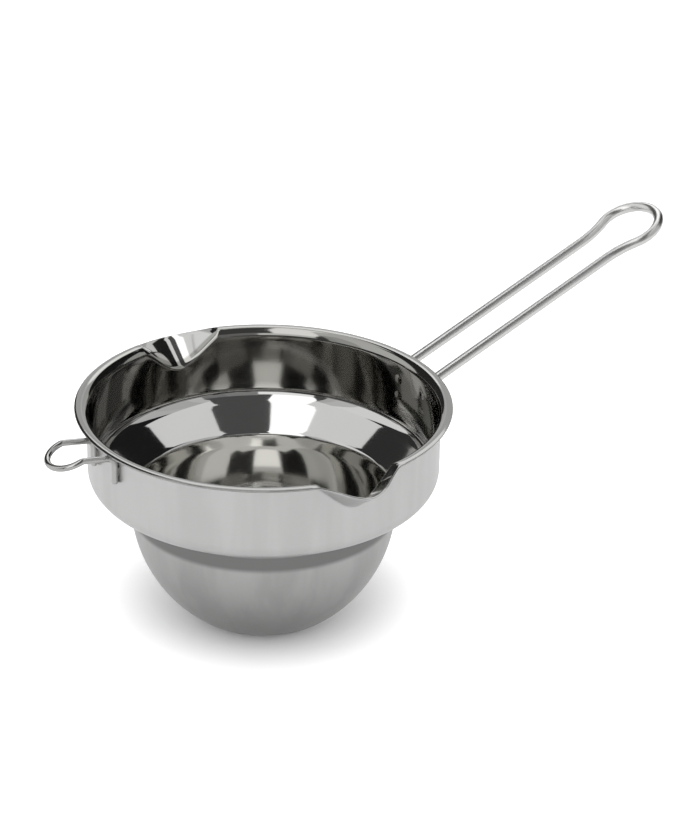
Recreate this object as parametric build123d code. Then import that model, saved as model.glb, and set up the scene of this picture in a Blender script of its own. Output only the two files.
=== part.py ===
from build123d import *
import math
import os

os.makedirs("parts", exist_ok=True)

# Upper vessel of a double boiler, in millimetres. The origin is the centre of the flat bottom,
# +Z is up, +X runs out along the long handle, and the two pouring lips face +Y and -Y.

# The bowl: one drawn sheet, sizes to its outer face
sheet = 1.0
wall_radius = 84.3
wall_height = 37.45
shoulder_round = 9.2
shoulder_height = 11.3
collar_radius = 64.1
collar_height = 7.4
collar_round = 1.4
lower_depth = 55.3
lower_side_radius = 70.2
foot_round = 24.0
base_radius = 22.5

# The rim: turned out above the wall and falling a little to its edge
rim_width = 5.7
rim_bend = 3.6
rim_fall = 0.45

# The two pouring lips, pressed out of the rim and the wall; the angles are in degrees from the handle
lip_half_angle = 14.5
lip_angle = 90.0
lip_reach = 8.95
lip_drop = 4.95
lip_channel_depth = 13.4
lip_bend = 2.0
lip_skirt = 4.0
lip_join_tolerance = 0.005
lip_section_shares = (-1.0, -0.85, -0.7, -0.55, -0.4, -0.2, 0.0, 0.2, 0.4, 0.55, 0.7, 0.85, 1.0)
share_power = 1.8
reach_power, drop_power, swell_power = 2.05, 1.85, 1.4

# The long handle, a wire bent double and closed by a keyhole loop
handle_wire = 5.0
handle_spacing = 22.2
handle_slope = 23.2
handle_under_rim = 0.5
handle_bend = 7.0
handle_leg = 20.0
handle_length = 135.5
handle_loop = 15.5
handle_neck = 46.0

# The hook over a pan's edge, a thinner wire bent into a plain loop that turns down
hook_wire = 3.0
hook_spacing = 21.2
hook_slope = 9.0
hook_under_rim = 0.3
hook_bend = 4.5
hook_leg = 13.0
hook_length = 16.5
hook_fall = 19.0
hook_fall_bend = 5.0
hook_run_in = 0.3

# Spot welds between the legs and the wall
weld_gap = 0.15
handle_weld_width = 3.0
handle_weld_height = 4.5
hook_weld_width = 1.8
hook_weld_height = 4.0
handle_weld_shares = (0.3, 0.75)
hook_weld_shares = (0.55,)

# Heights above the bottom, worked out from the sizes above
collar_foot = lower_depth
collar_top = collar_foot + collar_height
wall_foot = collar_top + shoulder_height
rim_top = wall_foot + wall_height
rim_radius = wall_radius + rim_width
lip_floor = rim_top - sheet - rim_bend - lip_channel_depth - lip_skirt


def polar(centre, radius, angle):
    return (centre[0] + radius * math.cos(angle), centre[1] + radius * math.sin(angle))


def arc_about(centre, radius, start, end):
    middle = (start + end) / 2
    points = [polar(centre, radius, angle) for angle in (start, middle, end)]
    return ThreePointArc(*points)


def lower_side_centre(foot_centre):
    # The side arc meets the collar's foot and runs tangent into the foot arc
    inner = lower_side_radius - foot_round
    across = collar_radius - foot_centre[0]
    up = collar_foot - foot_centre[1]
    apart = math.hypot(across, up)
    along = (inner**2 - lower_side_radius**2 + apart**2) / (2 * apart)
    aside = math.sqrt(inner**2 - along**2)
    unit = (across / apart, up / apart)
    return (
        foot_centre[0] + along * unit[0] - aside * unit[1],
        foot_centre[1] + along * unit[1] + aside * unit[0],
    )


def lower_outline():
    # Outer face from the centre of the bottom up to the floor of the lips' band, as radius and height
    foot_centre = (base_radius, foot_round)
    side_centre = lower_side_centre(foot_centre)
    joint = math.atan2(foot_centre[1] - side_centre[1], foot_centre[0] - side_centre[0])
    top = math.atan2(collar_foot - side_centre[1], collar_radius - side_centre[0])
    upper = FilletPolyline(
        (collar_radius, collar_foot),
        (collar_radius, collar_top),
        (wall_radius, wall_foot),
        (wall_radius, lip_floor),
        radius=[collar_round, shoulder_round],
    )
    return Wire(
        [
            Line((0, 0), (base_radius, 0)),
            arc_about(foot_centre, foot_round, -math.pi / 2, joint),
            arc_about(side_centre, lower_side_radius, joint, top),
            *upper.edges(),
        ]
    )


def lower_shell(seam):
    outline = lower_outline()
    section = make_face(outline.offset_2d(sheet, side=Side.LEFT))
    return revolve(Rot(0, 0, seam) * (Plane.XZ * section), axis=Axis.Z)


def rim_section(share):
    # Radial section of wall, bend and rim: share 1 is the plain rim, share 0 the middle of a lip.
    # The rim runs straight from its edge onto the bend, so the two meet at a tangent point.
    inside = 1 - share**share_power
    swell = inside**swell_power
    bend = rim_bend + (lip_bend - rim_bend) * swell
    bend_height = rim_top - sheet - rim_bend - lip_channel_depth * swell
    centre = (wall_radius + bend, bend_height)
    edge = (
        rim_radius + lip_reach * inside**reach_power,
        rim_top - rim_fall - lip_drop * inside**drop_power,
    )
    top_bend = bend + sheet
    away = math.hypot(edge[0] - centre[0], edge[1] - centre[1])
    tangent = math.atan2(edge[1] - centre[1], edge[0] - centre[0]) + math.acos(top_bend / away)
    edge_below = polar(edge, -sheet, tangent)
    inner_wall = wall_radius - sheet
    return make_face(
        [
            Line((wall_radius, lip_floor), (wall_radius, bend_height)),
            arc_about(centre, bend, math.pi, tangent),
            Line(polar(centre, bend, tangent), edge_below),
            Line(edge_below, edge),
            Line(edge, polar(centre, top_bend, tangent)),
            arc_about(centre, top_bend, tangent, math.pi),
            Line((inner_wall, bend_height), (inner_wall, lip_floor)),
            Line((inner_wall, lip_floor), (wall_radius, lip_floor)),
        ]
    )


def radial_section(share, angle):
    return Rot(0, 0, angle) * (Plane.XZ * rim_section(share))


def pouring_lip(middle):
    sections = [
        radial_section(abs(share), middle + share * lip_half_angle) for share in lip_section_shares
    ]
    return loft(sections)


def plain_rim(start, end):
    return revolve(radial_section(1, start), axis=Axis.Z, revolution_arc=end - start)


def make_bowl():
    front, back = -lip_angle, lip_angle
    seam = front + lip_half_angle
    handle_side = plain_rim(seam, back - lip_half_angle)
    hook_side = plain_rim(back + lip_half_angle, front - lip_half_angle + 360)
    lips = pouring_lip(front), pouring_lip(back)
    return lower_shell(seam).fuse(handle_side, hook_side, *lips, tol=lip_join_tolerance)


def leg_place(wire, spacing, slope, under_rim):
    # Where a leg turns outward: on the wall, with the wire passing under the rim's edge
    out = math.sqrt((wall_radius + weld_gap + wire / 2) ** 2 - (spacing / 2) ** 2)
    rise = math.tan(math.radians(slope))
    centre_under_rim = rim_top - sheet - under_rim - wire / 2 / math.cos(math.radians(slope))
    return out, centre_under_rim - (rim_radius - out) * rise


def tilted(origin, slope):
    rise = math.radians(slope)
    return Plane(
        origin=origin,
        x_dir=(math.cos(rise), 0, math.sin(rise)),
        z_dir=(-math.sin(rise), 0, math.cos(rise)),
    )


def handle_line(out, turn):
    # Two legs up the wall, two straights outward, and a keyhole loop between its two neck bends
    half, loop, neck = handle_spacing / 2, handle_loop, handle_neck
    tilt = tilted((out, 0, turn), handle_slope)
    neck_start = handle_length - math.sqrt((loop + neck) ** 2 - (half + neck) ** 2)
    turned = math.atan2(half + neck, handle_length - neck_start)
    contact = (handle_length - loop * math.cos(turned), loop * math.sin(turned))
    neck_middle = polar((neck_start, half + neck), neck, -(math.pi / 2 + turned) / 2)

    def place(point, side=1):
        return tilt.from_local_coords((point[0], side * point[1], 0))

    edges = []
    for side in (1, -1):
        straight = FilletPolyline(
            (out, side * half, turn - handle_leg),
            (out, side * half, turn),
            place((neck_start, half), side),
            radius=handle_bend,
        )
        edges += straight.edges()
        edges.append(
            ThreePointArc(
                place((neck_start, half), side), place(neck_middle, side), place(contact, side)
            ).edge()
        )
    edges.append(
        ThreePointArc(place(contact), place((handle_length + loop, 0)), place(contact, -1)).edge()
    )
    return Wire(edges)


def hook_line(out, turn):
    # Two legs up the wall, two straights outward, then a bend downward and a plain round loop
    half = hook_spacing / 2
    rising = tilted((out, 0, turn), hook_slope)
    crest = rising.from_local_coords((hook_length, 0, 0))
    falling = tilted(crest, -hook_fall)
    trim = hook_fall_bend * math.tan(math.radians(hook_slope + hook_fall) / 2)
    start = trim + hook_run_in

    def place(plane, along, across):
        return plane.from_local_coords((along, across, 0))

    edges = []
    for side in (1, -1):
        straight = FilletPolyline(
            (out, side * half, turn - hook_leg),
            (out, side * half, turn),
            place(rising, hook_length, side * half),
            place(falling, start, side * half),
            radius=[hook_bend, hook_fall_bend],
        )
        edges += straight.edges()
    edges.append(
        ThreePointArc(
            place(falling, start, half), place(falling, start + half, 0), place(falling, start, -half)
        ).edge()
    )
    return Wire(edges)


def bent_wire(wire, path):
    start = path @ 0
    section = Plane(origin=start, z_dir=path % 0) * Circle(wire / 2)
    return sweep(section, path=path)


def spot_welds(bent, wire, spacing, turn, leg, size, shares):
    # Metal that fills the wedge between a leg and the wall, cut to both
    to_leg = wall_radius + weld_gap + wire / 2
    around = math.degrees(math.asin(spacing / 2 / to_leg))
    width, height = size
    depth = to_leg - wall_radius + sheet
    wall = Cylinder(wall_radius, rim_top, align=(Align.CENTER, Align.CENTER, Align.MIN))
    welds = []
    for angle in (around, -around):
        for share in shares:
            block = Pos(to_leg, 0, turn - leg * share) * Box(
                depth, width, height, align=(Align.MAX, Align.CENTER, Align.CENTER)
            )
            weld = Rot(0, 0, angle) * block - bent - wall
            welds += weld.solids()
    return Compound(welds)


def write(shape, node):
    shape.label = node
    export_step(shape, f"parts/{node}.step")


bowl = make_bowl()
write(bowl, "bowl")

handle_out, handle_turn = leg_place(handle_wire, handle_spacing, handle_slope, handle_under_rim)
long_handle = bent_wire(handle_wire, handle_line(handle_out, handle_turn))
write(long_handle, "long_handle")

handle_weld_size = (handle_weld_width, handle_weld_height)
handle_welds = spot_welds(
    long_handle, handle_wire, handle_spacing, handle_turn, handle_leg, handle_weld_size, handle_weld_shares
)
write(handle_welds, "handle_welds")

# The hook is made facing the handle's way and then turned to the other side
opposite = Rot(0, 0, 180)
hook_out, hook_turn = leg_place(hook_wire, hook_spacing, hook_slope, hook_under_rim)
hook = bent_wire(hook_wire, hook_line(hook_out, hook_turn))
write(opposite * hook, "helper_hook")

hook_weld_size = (hook_weld_width, hook_weld_height)
hook_welds = spot_welds(
    hook, hook_wire, hook_spacing, hook_turn, hook_leg, hook_weld_size, hook_weld_shares
)
write(opposite * hook_welds, "hook_welds")
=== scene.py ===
import math
import bpy
from mathutils import Matrix, Vector


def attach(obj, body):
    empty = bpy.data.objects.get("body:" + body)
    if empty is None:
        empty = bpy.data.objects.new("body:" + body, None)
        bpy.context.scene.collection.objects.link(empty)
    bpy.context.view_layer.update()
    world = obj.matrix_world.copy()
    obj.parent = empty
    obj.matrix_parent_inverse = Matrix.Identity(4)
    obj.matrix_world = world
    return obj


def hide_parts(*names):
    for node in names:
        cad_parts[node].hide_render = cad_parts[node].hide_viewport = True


# Double boiler bowl, mirror polished inside and satin outside, with a wire handle and a wire hook.
# Sizes are in millimetres and angles in degrees, and meshes are scaled to metres when they are made.
# Sizes inside the materials are in metres, and noise takes its scale, its detail and its roughness.

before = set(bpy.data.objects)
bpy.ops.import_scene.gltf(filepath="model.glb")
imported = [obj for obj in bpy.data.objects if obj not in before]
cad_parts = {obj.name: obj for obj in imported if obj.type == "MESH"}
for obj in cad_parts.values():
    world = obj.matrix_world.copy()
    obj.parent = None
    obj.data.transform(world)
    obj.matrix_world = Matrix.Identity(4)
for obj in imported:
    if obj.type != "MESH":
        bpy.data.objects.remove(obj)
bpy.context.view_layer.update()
mm = 0.001
print("frame loaded:", ", ".join(sorted(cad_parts)))


# Sizes of the bowl, to its outer face

bowl = {
    "sheet": 1.0,
    "baseRadius": 22.5,
    "footRound": 24.0,
    "sideRadius": 70.2,
    "lowerDepth": 55.3,
    "collarRadius": 64.1,
    "collarHeight": 7.4,
    "collarRound": 1.4,
    "shoulderHeight": 11.3,
    "shoulderRound": 9.2,
    "wallRadius": 84.3,
    "wallHeight": 37.45,
    "rimWidth": 5.7,
    "rimBend": 3.6,
    "rimFall": 0.45,
    "edgeRound": 0.35,
    "lipAngle": 90.0,
    "lipHalfAngle": 14.5,
    "lipReach": 8.95,
    "lipDrop": 4.95,
    "lipDepth": 13.4,
    "lipBend": 2.0,
    "sharePower": 1.8,      # these four shape how a lip passes into the plain rim
    "reachPower": 2.05,
    "dropPower": 1.85,
    "swellPower": 1.4,
}


# Shader maths

class Value:
    # wraps an output socket, so that sums on it add Math nodes
    def __init__(self, look, socket):
        self.look = look
        self.socket = socket

    def maths(self, operation, first, second):
        return self.look.add("ShaderNodeMath", {"operation": operation}, {0: first, 1: second})

    def __add__(self, other):
        return self.maths("ADD", self, other)

    def __sub__(self, other):
        return self.maths("SUBTRACT", self, other)

    def __mul__(self, other):
        return self.maths("MULTIPLY", self, other)

    def __radd__(self, other):
        return self.maths("ADD", other, self)

    def __rsub__(self, other):
        return self.maths("SUBTRACT", other, self)

    def __rmul__(self, other):
        return self.maths("MULTIPLY", other, self)


class Look:
    # one material, or the world, and the nodes it is made of
    def __init__(self, owner):
        owner.use_nodes = True
        self.owner = owner
        self.tree = owner.node_tree
        self.tree.nodes.clear()

    def add(self, kind, settings=None, inputs=None, output=0):
        node = self.tree.nodes.new(kind)
        for name, value in (settings or {}).items():
            setattr(node, name, value)
        for name, value in (inputs or {}).items():
            if isinstance(value, Value):
                self.tree.links.new(value.socket, node.inputs[name])
            else:
                node.inputs[name].default_value = value
        return Value(self, node.outputs[output]) if node.outputs else None

    def place(self):
        # the object's own coordinates, in metres from the middle of the bottom
        return self.add("ShaderNodeTexCoord", output=3)

    def parts(self, vector):
        split = self.add("ShaderNodeSeparateXYZ", inputs={0: vector})
        return [Value(self, output) for output in split.socket.node.outputs]

    def stretched(self, vector, scale):
        return self.add("ShaderNodeVectorMath", {"operation": "MULTIPLY"}, {0: vector, 1: scale})

    def distance(self, place, point):
        return self.add("ShaderNodeVectorMath", {"operation": "DISTANCE"}, {0: place, 1: point}, 1)

    def fromAxis(self, place):
        level = self.stretched(place, (1, 1, 0))
        return self.add("ShaderNodeVectorMath", {"operation": "LENGTH"}, {0: level}, 1)

    def noise(self, vector, scale, detail, roughness=0.5):
        return self.add(
            "ShaderNodeTexNoise",
            inputs={"Vector": vector, "Scale": scale, "Detail": detail, "Roughness": roughness},
        )

    def step(self, value, low, high):
        # 0 below low, 1 above high, and smooth between
        return self.add(
            "ShaderNodeMapRange",
            {"interpolation_type": "SMOOTHSTEP"},
            {"Value": value, "From Min": low, "From Max": high},
        )

    def mixed(self, factor, first, second):
        # between two colours
        return self.add(
            "ShaderNodeMix", {"data_type": "RGBA"}, {0: factor, 6: first, 7: second}, output=2
        )

    def bump(self, height, strength, distance):
        return self.add(
            "ShaderNodeBump", inputs={"Height": height, "Strength": strength, "Distance": distance}
        )

    def surface(self, shader):
        self.add("ShaderNodeOutputMaterial", inputs={"Surface": shader})
        return self.owner


def newLook(name):
    return Look(bpy.data.materials.new(name))


# Finishes

polish = {
    "lower": (0.64, 0.635, 0.61, 1),      # from the bottom to the collar
    "shoulder": (0.6, 0.597, 0.59, 1),
    "shoulderDeep": (0.57, 0.567, 0.56, 1),
    # the wall is darker than the shoulder and the lip: painted shade
    "wall": (0.35, 0.347, 0.33, 1),
    "lip": (0.6, 0.597, 0.585, 1),
    "paintedFlangeShade": (0.36, 0.36, 0.35, 1),      # the flat of the rim, darker than the lip: painted shade
    "lowerEnds": (0.0605, 0.0635),        # heights between which one colour passes into the next
    "wallStarts": (0.0765, 0.0835),
    "lipStarts": (0.0858, 0.0872),        # the same, as distances from the axis
    "flangeAbove": (0.1085, 0.1095),
    "roughness": 0.05,
    "wallBlur": 0.032,                    # added to the roughness on the wall and the rim
    "lowerBlur": 0.03,                    # the same in the lower tier
    "haze": 0.02,                         # how much the roughness varies
    "hazeNoise": (35.0, 3.0),
    "ringNoise": (900.0, 1.0),            # fine polishing marks around the axis
    "ringDrift": 0.01,
    "ringDepth": 0.0000006,
    "waveNoise": (30.0, 1.0),             # slow waves that the drawing left in the sheet
    "waveDepth": 0.00008,
    "marks": (                            # behind each spot weld: angle, and height in metres
        (7.34, 0.0996),
        (-7.34, 0.0996),
        (7.34, 0.0906),
        (-7.34, 0.0906),
        (172.9, 0.1007),
        (187.1, 0.1007),
    ),
    "markRadius": 0.0028,
    "markDepth": 0.00022,
}


def pressMarks(look, place):
    # shallow dimples on the inner wall
    radius = (bowl["wallRadius"] - bowl["sheet"]) * mm
    depth = 0.0
    for angle, height in polish["marks"]:
        turn = math.radians(angle)
        away = look.distance(place, (radius * math.cos(turn), radius * math.sin(turn), height))
        depth = (1 - look.step(away, 0.0, polish["markRadius"])) * polish["markDepth"] + depth
    return depth


def polishedSteel():
    look = newLook("polished inside")
    place = look.place()
    x, y, z = look.parts(place)
    radius = look.fromAxis(place)
    haze = look.noise(place, *polish["hazeNoise"])
    drift = x * polish["ringDrift"] + y * polish["ringDrift"]
    ringPlace = look.add("ShaderNodeCombineXYZ", inputs={0: radius, 1: z, 2: drift})
    rings = look.noise(ringPlace, *polish["ringNoise"])
    waves = look.noise(place, *polish["waveNoise"])
    height = rings * polish["ringDepth"] + waves * polish["waveDepth"] + pressMarks(look, place)
    aboveLower = look.step(z, *polish["lowerEnds"])
    aboveShoulder = look.step(z, *polish["wallStarts"])
    outward = look.step(radius, *polish["lipStarts"])
    # where the flat of the rim gets its darker colour, which is painted shade
    paintedFlangeShade = outward * look.step(z, *polish["flangeAbove"])
    blur = aboveShoulder * polish["wallBlur"] + (1 - aboveLower) * polish["lowerBlur"]
    colour = look.mixed(haze, polish["shoulder"], polish["shoulderDeep"])
    colour = look.mixed(aboveLower, polish["lower"], colour)
    # the wall's darker colour is painted shade
    colour = look.mixed(aboveShoulder, colour, polish["wall"])
    colour = look.mixed(outward, colour, polish["lip"])
    shader = look.add(
        "ShaderNodeBsdfPrincipled",
        inputs={
            "Base Color": look.mixed(paintedFlangeShade, colour, polish["paintedFlangeShade"]),
            "Metallic": 1.0,
            "Roughness": haze * polish["haze"] + blur + (polish["roughness"] - polish["haze"] / 2),
            "Normal": look.bump(height, 1.0, 1.0),
        },
    )
    return look.surface(shader)


satin = {
    "upper": (0.545, 0.545, 0.542, 1),
    "upperDeep": (0.495, 0.495, 0.492, 1),       # in the streaks
    "lower": (0.43, 0.43, 0.427, 1),             # under the collar, darker than above it: painted shade
    # the same painted shade, in the streaks
    "lowerDeep": (0.355, 0.355, 0.352, 1),
    # darker still at the foot: painted shade
    "foot": (0.115, 0.115, 0.113, 1),
    # a dark band round the collar under the shoulder: painted shade
    "collar": (0.19, 0.19, 0.188, 1),
    "footShadeEnds": (-0.012, 0.058),                 # heights between which the painted shade at the foot fades
    "collarStarts": (0.0532, 0.0564),
    "collarEnds": (0.0618, 0.0632),
    "roughness": 0.36,
    "haze": 0.09,                                # how much the roughness varies
    "grainNoise": (420.0, 4.0, 0.65),
    "grainAround": 0.04,                         # draws the grain out around the axis
    "grainDepth": 0.000012,
    "grainShare": 0.3,                           # of the shade, the rest comes from the streaks
    "streakNoise": (60.0, 3.0, 0.6),
    "streakStretch": (1, 1, 0.12),
    "streakEdges": (0.36, 0.64),
}


def satinSteel():
    look = newLook("satin outside")
    place = look.place()
    x, y, z = look.parts(place)
    around = look.add("ShaderNodeMath", {"operation": "ARCTAN2"}, {0: y, 1: x})
    grainInputs = {0: around * satin["grainAround"], 1: z, 2: look.fromAxis(place)}
    grain = look.noise(look.add("ShaderNodeCombineXYZ", inputs=grainInputs), *satin["grainNoise"])
    streaks = look.noise(look.stretched(place, satin["streakStretch"]), *satin["streakNoise"])
    streaks = look.step(streaks, *satin["streakEdges"])
    shade = grain * satin["grainShare"] + streaks * (1 - satin["grainShare"])
    upper = look.mixed(shade, satin["upperDeep"], satin["upper"])
    # below the collar the colour is darker, and darker still towards the foot: painted shade
    lower = look.mixed(shade, satin["lowerDeep"], satin["lower"])
    lower = look.mixed(look.step(z, *satin["footShadeEnds"]), satin["foot"], lower)
    # the dark band round the collar is painted shade
    collar = look.step(z, *satin["collarStarts"]) * (1 - look.step(z, *satin["collarEnds"]))
    aboveLower = look.step(z, satin["collarStarts"][0], satin["collarEnds"][0])
    colour = look.mixed(aboveLower, lower, upper)
    shader = look.add(
        "ShaderNodeBsdfPrincipled",
        inputs={
            "Base Color": look.mixed(collar, colour, satin["collar"]),
            "Metallic": 1.0,
            "Roughness": grain * satin["haze"] + (satin["roughness"] - satin["haze"] / 2),
            "Normal": look.bump(grain, 1.0, satin["grainDepth"]),
        },
    )
    return look.surface(shader)


wireMarks = {
    "lineNoise": (60.0, 2.0),           # marks of the drawing
    "lineStretch": (1.0, 0.02, 1.0),    # long ones, as the wire's map runs round it and then along it
    "lineDepth": 0.000001,
    "hazeNoise": (90.0, 2.0),
    "haze": 0.06,                       # how much the roughness varies
}

brushedWire = {"colour": (0.66, 0.658, 0.652, 1), "deep": (0.6, 0.597, 0.59, 1), "roughness": 0.26}
brightWire = {"colour": (0.47, 0.468, 0.462, 1), "deep": (0.4, 0.397, 0.39, 1), "roughness": 0.15}


def drawnWire(name, wireFinish):
    look = newLook(name)
    along = look.add("ShaderNodeUVMap", {"uv_map": "wire"})
    lines = look.noise(look.stretched(along, wireMarks["lineStretch"]), *wireMarks["lineNoise"])
    haze = look.noise(look.place(), *wireMarks["hazeNoise"])
    shader = look.add(
        "ShaderNodeBsdfPrincipled",
        inputs={
            "Base Color": look.mixed(haze, wireFinish["colour"], wireFinish["deep"]),
            "Metallic": 1.0,
            "Roughness": haze * wireMarks["haze"] + (wireFinish["roughness"] - wireMarks["haze"] / 2),
            "Normal": look.bump(lines, 1.0, wireMarks["lineDepth"]),
        },
    )
    return look.surface(shader)


weld = {
    "metal": (0.4, 0.395, 0.38, 1),
    "tint": (0.25, 0.235, 0.215, 1),    # where the heat left a colour
    "tintEdges": (0.45, 0.7),
    "roughness": 0.4,
    "haze": 0.2,                        # how much the roughness varies
    "beadNoise": (700.0, 3.0, 0.6),
    "beadBump": (0.6, 0.00015),
}


def weldMetal():
    look = newLook("weld metal")
    beads = look.noise(look.place(), *weld["beadNoise"])
    tinted = look.step(beads, *weld["tintEdges"])
    shader = look.add(
        "ShaderNodeBsdfPrincipled",
        inputs={
            "Base Color": look.mixed(tinted, weld["metal"], weld["tint"]),
            "Metallic": 1.0,
            "Roughness": beads * weld["haze"] + (weld["roughness"] - weld["haze"] / 2),
            "Normal": look.bump(beads, *weld["beadBump"]),
        },
    )
    return look.surface(shader)


finishes = {
    "inside": polishedSteel(),
    "outside": satinSteel(),
    "handle": drawnWire("brushed wire", brushedWire),
    "hook": drawnWire("bright wire", brightWire),
    "weld": weldMetal(),
}
print("finishes made:", len(finishes))


# Mesh helpers

def meshPiece(name, points, faces, materials, materialOf=None):
    mesh = bpy.data.meshes.new(name)
    mesh.from_pydata([Vector(point) * mm for point in points], [], faces)
    for material in materials:
        mesh.materials.append(material)
    for index, polygon in enumerate(mesh.polygons):
        polygon.use_smooth = True
        polygon.material_index = materialOf[index] if materialOf else 0
    mesh.update()
    piece = bpy.data.objects.new(name, mesh)
    bpy.context.scene.collection.objects.link(piece)
    return piece


def polar(centre, radius, angle):
    return (centre[0] + radius * math.cos(angle), centre[1] + radius * math.sin(angle))


# The bowl: one profile, turned round the axis and pressed out into the two lips

bowlMesh = {
    "columnStep": 2.0,      # angle between columns, away from the lips
    "lipColumns": 44,
    "edgeMiddle": 0.3,      # how far the middle of the softened edge lies in, as a share of its round
    "bottomRows": 7,        # rows of faces along each stretch of the profile
    "footRows": 14,
    "sideRows": 24,
    "collarRows": 5,
    "collarTurnRows": 7,
    "shoulderRows": 9,
    "shoulderTurnRows": 14,
    "wallRows": 12,
    "bendRows": 14,
    "rimRows": 6,
}


def arcRows(centre, radius, start, end, count, side):
    # points on an arc with their normals towards the inside; side is 1 where the centre lies inside
    rows = []
    for step in range(1, count + 1):
        angle = start + (end - start) * step / count
        rows.append((polar(centre, radius, angle), (-side * math.cos(angle), -side * math.sin(angle))))
    return rows


def lineRows(start, end, count):
    run = Vector(end) - Vector(start)
    normal = (-run.y / run.length, run.x / run.length)
    return [(tuple(Vector(start) + run * step / count), normal) for step in range(1, count + 1)]


def sideCentre(footCentre):
    # the side arc meets the collar's foot and runs tangent into the foot arc
    inner = bowl["sideRadius"] - bowl["footRound"]
    reach = Vector((bowl["collarRadius"], bowl["lowerDepth"])) - Vector(footCentre)
    along = (inner**2 - bowl["sideRadius"] ** 2 + reach.length_squared) / (2 * reach.length)
    aside = math.sqrt(inner**2 - along**2)
    unit = reach.normalized()
    return (
        footCentre[0] + along * unit.x - aside * unit.y,
        footCentre[1] + along * unit.y + aside * unit.x,
    )


def lowerRows():
    # from the middle of the bottom to the foot of the wall
    footCentre = (bowl["baseRadius"], bowl["footRound"])
    centre = sideCentre(footCentre)
    joint = math.atan2(footCentre[1] - centre[1], footCentre[0] - centre[0])
    top = math.atan2(bowl["lowerDepth"] - centre[1], bowl["collarRadius"] - centre[0])
    collarTop = bowl["lowerDepth"] + bowl["collarHeight"]
    across = bowl["wallRadius"] - bowl["collarRadius"]
    slope = math.atan2(bowl["shoulderHeight"], across)
    turn = math.pi / 2 - slope
    lowTrim = bowl["collarRound"] * math.tan(turn / 2)
    highTrim = bowl["shoulderRound"] * math.tan(turn / 2)
    wallFoot = collarTop + bowl["shoulderHeight"]
    collarCentre = (bowl["collarRadius"] + bowl["collarRound"], collarTop - lowTrim)
    shoulderCentre = (bowl["wallRadius"] - bowl["shoulderRound"], wallFoot + highTrim)
    lowEnd = polar((bowl["collarRadius"], collarTop), lowTrim, slope)
    highEnd = polar((bowl["wallRadius"], wallFoot), -highTrim, slope)
    collarFoot = (bowl["collarRadius"], bowl["lowerDepth"])
    collarEnd = (bowl["collarRadius"], collarTop - lowTrim)
    rows = lineRows((0, 0), (bowl["baseRadius"], 0), bowlMesh["bottomRows"])
    rows += arcRows(footCentre, bowl["footRound"], -math.pi / 2, joint, bowlMesh["footRows"], 1)
    rows += arcRows(centre, bowl["sideRadius"], joint, top, bowlMesh["sideRows"], 1)
    rows += lineRows(collarFoot, collarEnd, bowlMesh["collarRows"])
    rows += arcRows(
        collarCentre, bowl["collarRound"], math.pi, math.pi - turn, bowlMesh["collarTurnRows"], -1
    )
    rows += lineRows(lowEnd, highEnd, bowlMesh["shoulderRows"])
    rows += arcRows(
        shoulderCentre, bowl["shoulderRound"], slope - math.pi / 2, 0, bowlMesh["shoulderTurnRows"], 1
    )
    return rows, wallFoot + highTrim


def rimTop():
    return bowl["lowerDepth"] + bowl["collarHeight"] + bowl["shoulderHeight"] + bowl["wallHeight"]


def upperRows(share, wallStart):
    # wall, bend and rim: share 1 is the plain rim, share 0 the middle of a lip
    inside = 1 - share ** bowl["sharePower"]
    swell = inside ** bowl["swellPower"]
    bend = bowl["rimBend"] + (bowl["lipBend"] - bowl["rimBend"]) * swell
    bendHeight = rimTop() - bowl["sheet"] - bowl["rimBend"] - bowl["lipDepth"] * swell
    centre = (bowl["wallRadius"] + bend, bendHeight)
    edge = (
        bowl["wallRadius"] + bowl["rimWidth"] + bowl["lipReach"] * inside ** bowl["reachPower"],
        rimTop() - bowl["rimFall"] - bowl["lipDrop"] * inside ** bowl["dropPower"],
    )
    topBend = bend + bowl["sheet"]
    away = (Vector(edge) - Vector(centre)).length
    tangent = math.atan2(edge[1] - centre[1], edge[0] - centre[0]) + math.acos(topBend / away)
    edgeBelow = polar(edge, -bowl["sheet"], tangent)
    wallFoot, wallEnd = (bowl["wallRadius"], wallStart), (bowl["wallRadius"], bendHeight)
    rows = lineRows(wallFoot, wallEnd, bowlMesh["wallRows"])
    rows += arcRows(centre, bend, math.pi, tangent, bowlMesh["bendRows"], -1)
    rows += lineRows(polar(centre, bend, tangent), edgeBelow, bowlMesh["rimRows"])
    return rows


def bowlSection(share, lower, wallStart):
    # outer face outward, a softened edge, then the inner face back to the middle
    rows = lower + upperRows(share, wallStart)
    sheet, soft = bowl["sheet"], bowl["edgeRound"]
    outer = [point for point, normal in rows]
    inner = [(point[0] + sheet * normal[0], point[1] + sheet * normal[1]) for point, normal in rows]
    below, above = Vector(outer[-1]), Vector(inner[-1])
    up = (above - below).normalized()
    out = Vector((up.y, -up.x))
    outer[-1] = tuple(below - out * soft)
    inner[-1] = tuple(above - out * soft)
    middle = soft * bowlMesh["edgeMiddle"]
    edge = [
        below + (up - out) * middle,
        below + up * soft,
        above - up * soft,
        above - (up + out) * middle,
    ]
    return outer, [tuple(point) for point in edge], inner[::-1]


def bowlColumns():
    # angles and lip shares round the bowl, closer together in the lips
    columns = []
    half = bowl["lipHalfAngle"]
    back, front = bowl["lipAngle"], 360 - bowl["lipAngle"]
    for middle in (back, front):
        for step in range(bowlMesh["lipColumns"] + 1):
            share = 2 * step / bowlMesh["lipColumns"] - 1
            columns.append((middle + share * half, abs(share)))
    for start, end in ((back + half, front - half), (front + half, back + 360 - half)):
        count = round((end - start) / bowlMesh["columnStep"])
        columns += [(start + (end - start) * step / count, 1.0) for step in range(1, count)]
    return sorted((angle % 360, share) for angle, share in columns)


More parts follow.
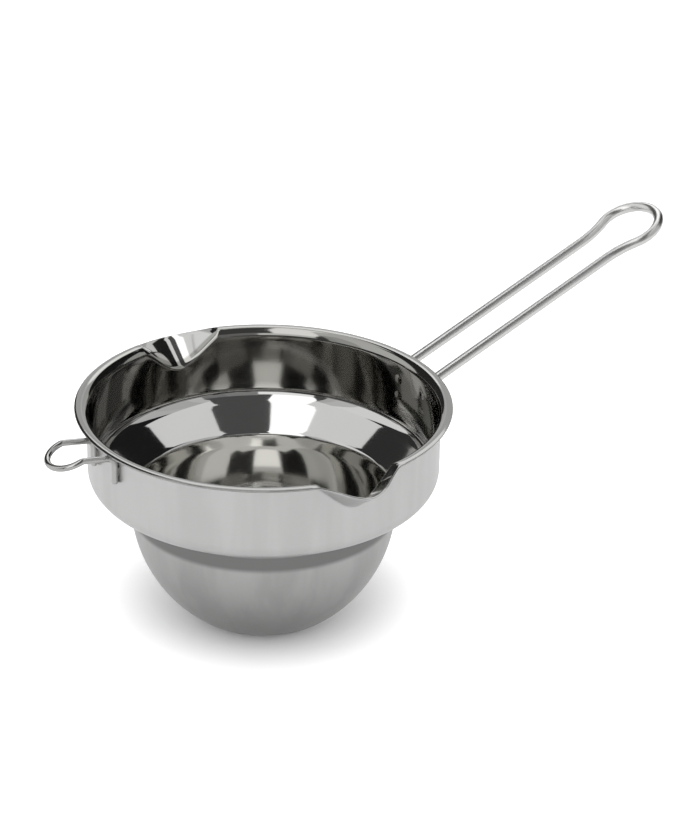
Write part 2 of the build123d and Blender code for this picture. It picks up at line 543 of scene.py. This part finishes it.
def makeBowl():
    lower, wallStart = lowerRows()
    columns = bowlColumns()
    points = [(0, 0, 0), (0, 0, bowl["sheet"])]
    faces, materialOf = [], []
    for angle, share in columns:
        outer, edge, inner = bowlSection(share, lower, wallStart)
        ring = outer + edge + inner
        turn = math.radians(angle)
        points += [(radius * math.cos(turn), radius * math.sin(turn), height) for radius, height in ring]
    size, outside = len(ring), len(outer) + 1
    for column in range(len(columns)):
        here, there = 2 + column * size, 2 + (column + 1) % len(columns) * size
        faces += [(0, there, here), (1, here + size - 1, there + size - 1)]
        materialOf += [0, 1]
        for row in range(size - 1):
            faces.append((here + row, there + row, there + row + 1, here + row + 1))
            materialOf.append(0 if row < outside else 1)
    return meshPiece("bowlSheet", points, faces, [finishes["outside"], finishes["inside"]], materialOf)


bowlSheet = makeBowl()
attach(bowlSheet, "root")
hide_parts("bowl")
print("bowl made:", len(bowlSheet.data.polygons), "faces")


# The two wires: legs up the wall and straights outward, then a keyhole loop on the handle
# and a plain loop that turns down on the hook

handle = {
    "node": "long_handle",
    "slot": "handle_wire_steel",
    "finish": "handle",
    "wire": 5.0,
    "spacing": 22.2,
    "slope": 23.2,
    "underRim": 0.5,
    "bend": 7.0,
    "leg": 20.0,
    "length": 135.5,
    "loop": 15.5,
    "neck": 46.0,
    "turned": 0.0,
}

hook = {
    "node": "helper_hook",
    "slot": "hook_wire_steel",
    "finish": "hook",
    "wire": 3.0,
    "spacing": 21.2,
    "slope": 9.0,
    "underRim": 0.3,
    "bend": 4.5,
    "leg": 13.0,
    "length": 16.5,
    "fall": 19.0,
    "fallBend": 5.0,
    "runIn": 0.3,
    "turned": 180.0,
}

wires = {
    "weldGap": 0.15,
    "sides": 28,
    "step": 2.5,        # length between rings on a straight
    "arcStep": 6.0,     # angle between rings in a bend
    "neckStep": 2.0,    # the same in the wide bends of the handle's neck
    "endRound": 0.5,    # at the cut ends, with its points as shares along and inward
    "endShares": ((0, 0), (0.45, 0.1), (0.8, 0.4), (1, 1)),
}


def legPlace(wire):
    # where a leg turns outward, so that the wire passes under the rim's edge
    half = wire["spacing"] / 2
    out = math.sqrt((bowl["wallRadius"] + wires["weldGap"] + wire["wire"] / 2) ** 2 - half**2)
    slope = math.radians(wire["slope"])
    height = rimTop() - bowl["sheet"] - wire["underRim"] - wire["wire"] / 2 / math.cos(slope)
    rimRadius = bowl["wallRadius"] + bowl["rimWidth"]
    return out, height - (rimRadius - out) * math.tan(slope)


def arcThrough(centre, start, normal, angle, step):
    # points after start, turning about centre by angle
    count = max(3, round(abs(math.degrees(angle)) / step))
    return [
        centre + Matrix.Rotation(angle * index / count, 3, normal) @ (start - centre)
        for index in range(1, count + 1)
    ]


def wireHalf(wire):
    # centre line of one side, from the cut end of a leg to the far end of the loop
    out, turn = legPlace(wire)
    slope, half = math.radians(wire["slope"]), wire["spacing"] / 2
    ahead = Vector((math.cos(slope), 0, math.sin(slope)))
    side = Vector((0, 1, 0))
    corner = Vector((out, half, turn))
    turned = math.pi / 2 - slope
    legTop = corner - Vector((0, 0, wire["bend"] * math.tan(turned / 2)))
    bendCentre = legTop + Vector((wire["bend"], 0, 0))
    points = evenly(corner - Vector((0, 0, wire["leg"])), legTop)
    points += arcThrough(bendCentre, legTop, side, turned, wires["arcStep"])
    loop = hookLoop if "fall" in wire else keyhole
    return points + loop(wire, points[-1], corner, ahead, side)


def keyhole(wire, start, corner, ahead, side):
    half, neck, loop, length = wire["spacing"] / 2, wire["neck"], wire["loop"], wire["length"]
    up = ahead.cross(side)
    neckStart = length - math.sqrt((loop + neck) ** 2 - (half + neck) ** 2)
    turned = math.atan2(half + neck, length - neckStart)
    points = evenly(start, corner + ahead * neckStart)[1:]
    neckCentre = points[-1] + side * neck
    points += arcThrough(neckCentre, points[-1], up, math.pi / 2 - turned, wires["neckStep"])
    loopCentre = corner - side * half + ahead * length
    return points + arcThrough(loopCentre, points[-1], up, -(math.pi - turned), wires["arcStep"])


def hookLoop(wire, start, corner, ahead, side):
    half, bend = wire["spacing"] / 2, wire["fallBend"]
    turn = math.radians(wire["slope"] + wire["fall"])
    trim = bend * math.tan(turn / 2)
    falling = Matrix.Rotation(turn, 3, side) @ ahead
    crest = corner + ahead * wire["length"]
    points = evenly(start, crest - ahead * trim)[1:]
    points += arcThrough(points[-1] - ahead.cross(side) * bend, points[-1], side, turn, wires["arcStep"])
    loopStart = crest + falling * (trim + wire["runIn"])
    points.append(loopStart)
    loopCentre, up = loopStart - side * half, falling.cross(side)
    return points + arcThrough(loopCentre, loopStart, up, -math.pi / 2, wires["arcStep"])


def evenly(start, end):
    count = max(2, round((end - start).length / wires["step"]))
    return [start.lerp(end, index / count) for index in range(count + 1)]


def wireLine(wire):
    near = wireHalf(wire)
    far = [Vector((point.x, -point.y, point.z)) for point in near]
    turn = Matrix.Rotation(math.radians(wire["turned"]), 3, "Z")
    return [turn @ point for point in near + far[-2::-1]]


def wireRings(line, radius):
    # a frame at each point, carried along without twist, and a softened cut at both ends
    before, after = line[:1] + line[:-1], line[1:] + line[-1:]
    tangents = [(end - start).normalized() for start, end in zip(before, after)]
    across = tangents[0].orthogonal().normalized()
    rings, last = [], tangents[0]
    for point, tangent in zip(line, tangents):
        across = last.rotation_difference(tangent) @ across
        rings.append((point, tangent, across, radius))
        last = tangent
    return softEnd(rings[0], -1)[::-1] + rings[1:-1] + softEnd(rings[-1], 1)


def makeWire(wire, name):
    rings, sides = wireRings(wireLine(wire), wire["wire"] / 2), wires["sides"]
    points, faces = [], []
    for point, tangent, across, size in rings:
        other = tangent.cross(across)
        for index in range(sides):
            angle = 2 * math.pi * index / sides
            points.append(point + (across * math.cos(angle) + other * math.sin(angle)) * size)
    for ring in range(len(rings) - 1):
        for index in range(sides):
            here, there = ring * sides + index, ring * sides + (index + 1) % sides
            faces.append((here, there, there + sides, here + sides))
    last = (len(rings) - 1) * sides
    faces += [tuple(range(sides))[::-1], tuple(range(last, last + sides))]
    piece = meshPiece(name, points, faces, [finishes[wire["finish"]]])
    addWireMap(piece.data, sides, len(rings))
    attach(piece, "root")
    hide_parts(wire["node"])
    return piece


def softEnd(ring, way):
    # the cut end, rounded over
    point, tangent, across, radius = ring
    soft = wires["endRound"]
    return [
        (point - tangent * way * soft * (1 - along), tangent, across, radius - soft * inward)
        for along, inward in wires["endShares"]
    ]


def addWireMap(mesh, sides, ringCount):
    # u runs round the wire and v along it
    layer = mesh.uv_layers.new(name="wire")
    for polygon in mesh.polygons:
        places = [divmod(mesh.loops[loop].vertex_index, sides) for loop in polygon.loop_indices]
        closes = polygon.loop_total == 4 and max(index for ring, index in places) == sides - 1
        for loop, (ring, index) in zip(polygon.loop_indices, places):
            # the face that closes a ring ends at the full turn, not back at 0
            u = 1.0 if closes and index == 0 else index / sides
            layer.data[loop].uv = (u, ring / ringCount)


handleWire = makeWire(handle, "handleWire")
hookWire = makeWire(hook, "hookWire")
print("wires made:", len(handleWire.data.polygons) + len(hookWire.data.polygons), "faces")


# Spot welds keep their CAD shape and get their metal

for node in ("handle_welds", "hook_welds"):
    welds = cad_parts[node]
    welds.data.materials.clear()
    welds.data.materials.append(finishes["weld"])
print("welds finished")


# The photograph's camera, in a studio turned with it: x to the right, y to the back

view = {
    "frame": (700, 840),
    "focalPixels": 2944.41,
    "rimAt": (263.94, 403.06),  # pixel of the rim's centre
    "rimHeight": 111.0,
    "distance": 1400.0,
    "elevation": 26.12,
    "roll": 0.2,
    "turn": 30.0,               # how far the handle points to the back
    "sensor": 36.0,
    "clip": (0.01, 50.0),       # in metres
}


def studioTurn():
    return Matrix.Rotation(-math.radians(view["turn"]), 3, "Z")


def placeCamera():
    rise, roll = math.radians(view["elevation"]), math.radians(view["roll"])
    back = Vector((0, -math.cos(rise), math.sin(rise)))
    right = Vector((1, 0, 0))
    up = right.cross(-back)
    rolledRight = right * math.cos(roll) + up * math.sin(roll)
    rolledUp = up * math.cos(roll) - right * math.sin(roll)
    aside = (view["rimAt"][0] - view["frame"][0] / 2) / view["focalPixels"]
    above = (view["frame"][1] / 2 - view["rimAt"][1]) / view["focalPixels"]
    ahead = (-back - rolledRight * aside - rolledUp * above).normalized()
    right = (rolledRight - ahead * rolledRight.dot(ahead)).normalized()
    up = right.cross(ahead)
    camera = bpy.data.objects.new("camera", bpy.data.cameras.new("camera"))
    camera.data.sensor_width = view["sensor"]
    camera.data.lens = view["focalPixels"] * view["sensor"] / max(view["frame"])
    camera.data.clip_start, camera.data.clip_end = view["clip"]
    turn = studioTurn()
    basis = Matrix((turn @ right, turn @ up, turn @ -ahead)).transposed()
    place = turn @ (back * view["distance"]) + Vector((0, 0, view["rimHeight"]))
    camera.matrix_world = Matrix.Translation(place * mm) @ basis.to_4x4()
    bpy.context.scene.collection.objects.link(camera)
    bpy.context.scene.camera = camera


placeCamera()
print("camera placed")


# Studio: pale floor, white cloth overhead with one softbox and a dark slot beside it that both widen
# towards the camera, and upright panels round the object, given by angles; all but the floor are
# seen in reflections only

studio = {
    "floorSize": 12000.0,
    "floorGrey": 0.88,
    "floorMirrored": 0.14,          # added where the floor is seen in the metal
    "floorGlow": 0.55,              # added for the camera, away from the foot, so the floor round the foot stays darker: a painted shadow over the real one
    "glowStarts": (0.041, 0.097),   # in metres from glowCentre, a point a little behind the foot; they set where the painted shadow ends
    "glowCentre": (0.0075, 0.013, 0.0),
    "skyTop": 0.3,       # light from above and from the horizon
    "skyLow": 2.7,
    "dim": 0.1,          # the same as seen in reflections, between the cards
    "ceiling": 1520.0,
    "ceilingCards": {
        # strength, then rows from back to front: y, left and right x in the turned studio
        "softbox": (
            1.8,
            (450, -350, -45), (0, -350, -45), (-500, -600, -45),
            (-1270, -1100, -120), (-2480, -1730, -260),
        ),
        "slot": (
            0.1,
            (450, -45, 350), (100, -45, 350), (-490, -45, 650),
            (-1160, -110, 1060), (-1950, -200, 1830),
        ),
        "leftCloth": (0.96, (850, -870, -350), (0, -870, -350), (-500, -870, -600), (-930, -870, -860)),
        "rightCloth": (0.96, (850, 350, 870), (100, 350, 870), (-490, 650, 870), (-840, 860, 870)),
        "backCloth": (0.9, (850, -350, 350), (450, -350, 350)),
    },
    "panelDistance": 3500.0,
    "panelStep": 6.0,
    "panels": {
        # angles round from the right and up from the floor, and strength
        "backSoftbox": ((60, 108), (30, 76), 1.6),
        "backShade": ((57, 60), (30, 62), 0.35),
        "backLow": ((57, 108), (1, 30), 0.75),
        "rightFlag": ((12, 57), (1, 62), 0.015),
        "leftFlag": ((108, 155), (1, 62), 0.04),
        "rightWall": ((-12, 12), (1, 62), 0.65),
        "rightShade": ((-38, -12), (1, 62), 0.6),
        "rightFront": ((-48, -38), (1, 62), 0.7),
        "leftWall": ((155, 204), (1, 62), 1.0),
        "leftShade": ((204, 220), (1, 62), 0.7),
        "leftFront": ((220, 227), (1, 62), 0.6),
        "leftGap": ((227, 236), (1, 25), 0.08),
        "frontSoft": ((236, 274), (8, 30), 1.2),
        "frontLow": ((274, 296), (8, 37), 0.3),
        "frontDark": ((296, 312), (1, 48), 0.25),
        "frontFloor": ((236, 296), (1, 8), 0.15),
    },
}


def emitting(name, strength):
    look = newLook(name)
    shader = look.add("ShaderNodeEmission", inputs={"Color": (1, 1, 1, 1), "Strength": strength})
    return look.surface(shader)


def reflectedOnly(name, points, faces, strength):
    turn = studioTurn()
    card = meshPiece(name, [turn @ Vector(point) for point in points], faces, [emitting(name, strength)])
    card.visible_camera = False
    card.visible_shadow = False
    card.visible_diffuse = False


def makeCeilingCard(name, strength, *rows):
    points, faces = [], []
    for y, left, right in rows:
        points += [(left, y, studio["ceiling"]), (right, y, studio["ceiling"])]
    for row in range(0, 2 * len(rows) - 2, 2):
        faces.append((row, row + 1, row + 3, row + 2))
    reflectedOnly(name, points, faces, strength)


def makePanel(name, around, rise, strength):
    # a piece of a wide sphere about the rim's centre
    columns = round((around[1] - around[0]) / studio["panelStep"]) + 1
    rows = round((rise[1] - rise[0]) / studio["panelStep"]) + 1
    points, faces = [], []
    for row in range(rows + 1):
        up = math.radians(rise[0] + (rise[1] - rise[0]) * row / rows)
        for column in range(columns + 1):
            turn = math.radians(around[0] + (around[1] - around[0]) * column / columns)
            level = (math.cos(up) * math.cos(turn), math.cos(up) * math.sin(turn), math.sin(up))
            points.append(Vector(level) * studio["panelDistance"] + Vector((0, 0, view["rimHeight"])))
    for row in range(rows):
        for column in range(columns):
            here = row * (columns + 1) + column
            faces.append((here, here + 1, here + columns + 2, here + columns + 1))
    reflectedOnly(name, points, faces, strength)


def seenStraight(look):
    # 1 for rays from the camera, from a mirror and through a glass
    outputs = look.add("ShaderNodeLightPath").socket.node.outputs
    names = ("Is Camera Ray", "Is Glossy Ray", "Is Transmission Ray")
    return [Value(look, outputs[name]) for name in names]


def makeFloor():
    half = studio["floorSize"] / 2
    look = newLook("floor")
    camera, glossy, through = seenStraight(look)
    paper = look.add("ShaderNodeBsdfDiffuse", inputs={"Color": (studio["floorGrey"],) * 3 + (1,)})
    strength = camera * studio["floorGlow"] + (glossy + through) * studio["floorMirrored"]
    glow = look.add("ShaderNodeEmission", inputs={"Strength": strength})
    glowing = look.add("ShaderNodeAddShader", inputs={0: paper, 1: glow})
    # near the foot the camera sees no glow: the shadow there is partly real and partly painted
    away = look.distance(look.place(), studio["glowCentre"])
    paintedShadow = camera * (1 - look.step(away, *studio["glowStarts"]))
    shader = look.add("ShaderNodeMixShader", inputs={0: 1 - paintedShadow, 1: paper, 2: glowing})
    corners = [(-half, -half, 0), (half, -half, 0), (half, half, 0), (-half, half, 0)]
    floor = meshPiece("floor", corners, [(0, 1, 2, 3)], [look.surface(shader)])


def makeWorld():
    world = bpy.data.worlds.new("studio")
    bpy.context.scene.world = world
    look = Look(world)
    glossy = seenStraight(look)[1]
    level = look.parts(look.add("ShaderNodeTexCoord"))[2]    # 0 at the horizon and 1 overhead
    sky = studio["skyLow"] + look.step(level, 0.0, 1.0) * (studio["skyTop"] - studio["skyLow"])
    strength = (1 - glossy) * sky + glossy * studio["dim"]
    background = look.add("ShaderNodeBackground", inputs={"Color": (1, 1, 1, 1), "Strength": strength})
    look.add("ShaderNodeOutputWorld", inputs={"Surface": background})


makeFloor()
for name, card in studio["ceilingCards"].items():
    makeCeilingCard(name, *card)
for name, panel in studio["panels"].items():
    makePanel(name, *panel)
makeWorld()
bpy.context.scene.view_settings.view_transform = "Standard"
print("studio made")
